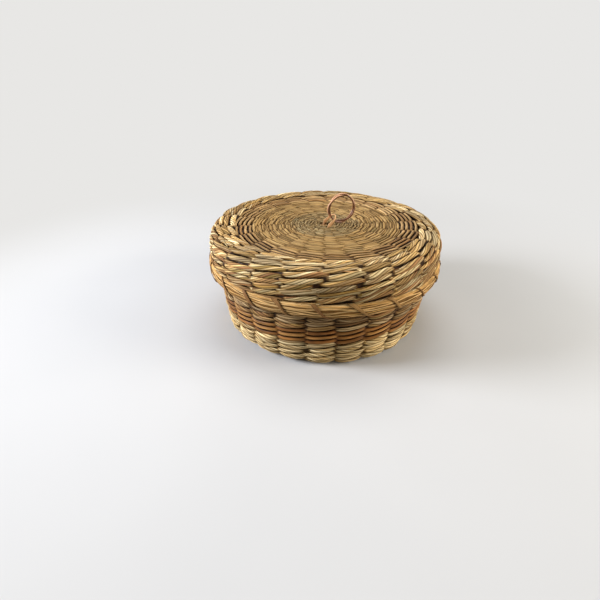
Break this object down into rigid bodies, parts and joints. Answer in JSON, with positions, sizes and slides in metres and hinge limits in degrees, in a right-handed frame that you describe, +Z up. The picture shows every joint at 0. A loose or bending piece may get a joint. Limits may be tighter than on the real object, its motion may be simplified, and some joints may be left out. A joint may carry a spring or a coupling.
{
  "type": "lidded basket",
  "caption": "Low round basket with a lift-off lid: grass, rush and wicker rows woven round flat splints, a straw-bound rim and a small ring handle.",
  "frame": {"origin": "centre of the base, on the surface the basket stands on", "axes": "+Z up through the lid; the ring handle stands on the +X side of the middle, turned 23 degrees from the X-Z plane"},
  "size_m": [0.2026, 0.2044, 0.1139],
  "materials": {
    "pale_grass": "dry, weathered pale grass strands",
    "straw_grass": "golden straw strands",
    "olive_grass": "grey-olive twisted grass",
    "tan_rush": "twisted rush",
    "orange_wicker": "round peeled wicker, satin",
    "splint": "flat split wood, matt",
    "dark_splint": "thin dark split wood",
    "straw_bundle": "smooth golden straw bundle",
    "ring_cane": "reddish brown bent cane, satin"
  },
  "bodies": {
    "basket": {"base_weave": "pale_grass", "side_grass_lower": "pale_grass", "side_wicker": "orange_wicker", "side_grass_upper": "straw_grass", "side_collar": "splint", "basket_rim_hoop": "splint", "basket_stake_01": "splint", "basket_stake_02": "splint", "basket_stake_03": "splint", "basket_stake_04": "splint", "basket_stake_05": "splint", "basket_stake_06": "splint", "basket_stake_07": "splint", "basket_stake_08": "splint", "basket_stake_09": "splint", "basket_stake_10": "splint", "basket_stake_11": "splint", "basket_stake_12": "splint", "basket_stake_13": "splint", "basket_stake_14": "splint", "basket_stake_15": "splint", "basket_stake_16": "splint", "basket_stake_17": "splint", "basket_stake_18": "splint", "basket_stake_19": "splint", "basket_stake_20": "splint", "basket_stake_21": "splint", "basket_stake_22": "splint", "basket_stake_23": "splint", "basket_stake_24": "splint"},
    "lid": {"lid_centre_weave": "olive_grass", "lid_wicker": "orange_wicker", "lid_braid": "straw_grass", "lid_skirt_rows": "tan_rush", "lid_rim_bundle": "straw_bundle", "lid_rim_lashing": "dark_splint", "ring_tie": "splint", "lid_spoke_01": "splint", "lid_spoke_02": "splint", "lid_spoke_03": "splint", "lid_spoke_04": "splint", "lid_spoke_05": "splint", "lid_spoke_06": "splint", "lid_spoke_07": "splint", "lid_spoke_08": "splint", "lid_spoke_09": "splint", "lid_spoke_10": "splint", "lid_spoke_11": "splint", "lid_spoke_12": "splint", "lid_spoke_13": "splint", "lid_spoke_14": "splint", "lid_spoke_15": "splint", "lid_spoke_16": "splint", "lid_spoke_17": "splint", "lid_spoke_18": "splint", "lid_spoke_19": "splint", "lid_spoke_20": "splint", "lid_spoke_21": "splint", "lid_spoke_22": "splint"},
    "ring": {"ring_handle": "ring_cane"}
  },
  "joints": [
    {"name": "lid_lift", "type": "slide", "parent": "basket", "child": "lid", "axis": [0, 0, 1], "range_m": [0, 0.05]},
    {"name": "ring_swing", "type": "hinge", "parent": "lid", "child": "ring", "pos_m": [0.00612, -0.00284, 0.09308], "axis": [0.9184, 0.3955, 0], "range_deg": [-80, 80]}
  ]
}
